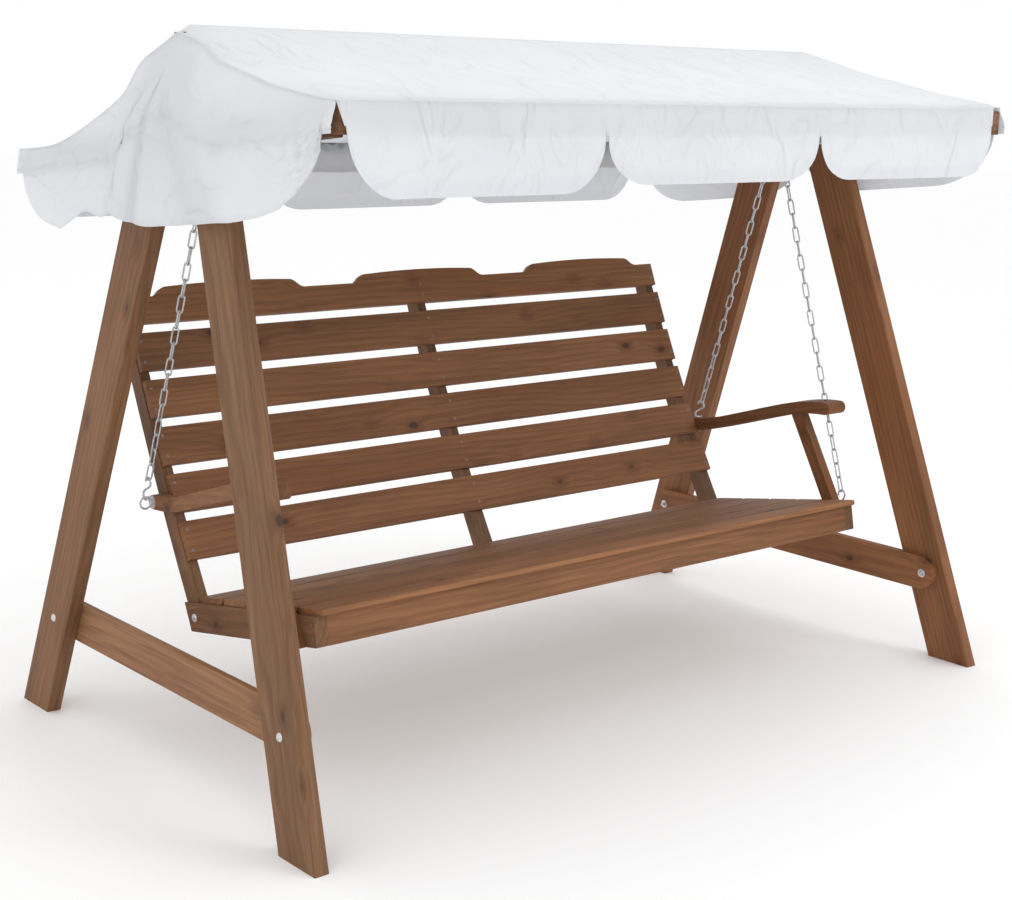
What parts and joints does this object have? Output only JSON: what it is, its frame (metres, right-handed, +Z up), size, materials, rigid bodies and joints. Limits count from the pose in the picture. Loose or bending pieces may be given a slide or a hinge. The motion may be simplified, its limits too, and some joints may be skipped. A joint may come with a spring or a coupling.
{
  "type": "porch swing seat",
  "caption": "Garden swing: slatted timber bench with scalloped crest and curved armrests, hung on chains from a timber A-frame under a white cloth canopy with scalloped valances.",
  "frame": {"origin": "bottom centre of the bounding box: on the ground, midway between the outer faces of the left and right feet and midway between the front tips of the feet and the rear edge of the canopy", "axes": "+X along the bench towards the sitter's left-hand side, which is the viewer's right; -Y is the front, where the sitter's legs hang; +Z is up"},
  "size_m": [2.201, 1.3479, 1.656],
  "materials": {
    "stained_pine_frame": "brown stained pine with knots, satin",
    "stained_pine_slats": "brown stained pine with knots, satin",
    "zinc_steel": "galvanised, dull",
    "zinc_fasteners": "galvanised, dull",
    "white_cloth": "woven polyester, matt"
  },
  "bodies": {
    "frame": {"beam_bolts": "zinc_fasteners", "canopy_arm_left": "stained_pine_frame", "canopy_arm_right": "stained_pine_frame", "canopy_gable_left": "white_cloth", "canopy_gable_right": "white_cloth", "canopy_rail_front": "stained_pine_frame", "canopy_rail_rear": "stained_pine_frame", "canopy_rail_screws": "zinc_fasteners", "canopy_roof_front": "white_cloth", "canopy_roof_rear": "white_cloth", "canopy_valance_front": "white_cloth", "canopy_valance_rear": "white_cloth", "crossbar_left": "stained_pine_frame", "crossbar_right": "stained_pine_frame", "frame_nuts": "zinc_fasteners", "frame_washers": "zinc_fasteners", "hook_left": "zinc_steel", "hook_right": "zinc_steel", "leg_bolts": "zinc_fasteners", "leg_front_left": "stained_pine_frame", "leg_front_right": "stained_pine_frame", "leg_rear_left": "stained_pine_frame", "leg_rear_right": "stained_pine_frame", "top_beam": "stained_pine_frame"},
    "seat": {"apron": "stained_pine_frame", "apron_screws": "zinc_fasteners", "arm_post_left": "stained_pine_frame", "arm_post_right": "stained_pine_frame", "armrest_left": "stained_pine_frame", "armrest_right": "stained_pine_frame", "back_slat_1": "stained_pine_slats", "back_slat_2": "stained_pine_slats", "back_slat_3": "stained_pine_slats", "back_slat_4": "stained_pine_slats", "back_slat_5": "stained_pine_slats", "back_slat_screws": "zinc_fasteners", "chain_front_left": "zinc_steel", "chain_front_right": "zinc_steel", "chain_rear_left": "zinc_steel", "chain_rear_right": "zinc_steel", "crest_rail": "stained_pine_slats", "eye_bolt_nuts": "zinc_fasteners", "eye_bolt_washers": "zinc_steel", "eye_bolts": "zinc_steel", "middle_bearer": "stained_pine_frame", "s_hooks": "zinc_steel", "seat_bolt_nuts": "zinc_fasteners", "seat_bolts": "zinc_fasteners", "seat_slat_1": "stained_pine_slats", "seat_slat_2": "stained_pine_slats", "seat_slat_3": "stained_pine_slats", "seat_slat_4": "stained_pine_slats", "seat_slat_5": "stained_pine_slats", "seat_slat_screws": "zinc_fasteners", "side_rail_left": "stained_pine_frame", "side_rail_right": "stained_pine_frame", "stile_left": "stained_pine_frame", "stile_middle": "stained_pine_frame", "stile_right": "stained_pine_frame"}
  },
  "joints": [
    {"name": "seat_swing", "type": "hinge", "parent": "frame", "child": "seat", "pos_m": [0, -0.006, 1.432], "axis": [1, 0, 0], "range_deg": [-18, 18]}
  ]
}
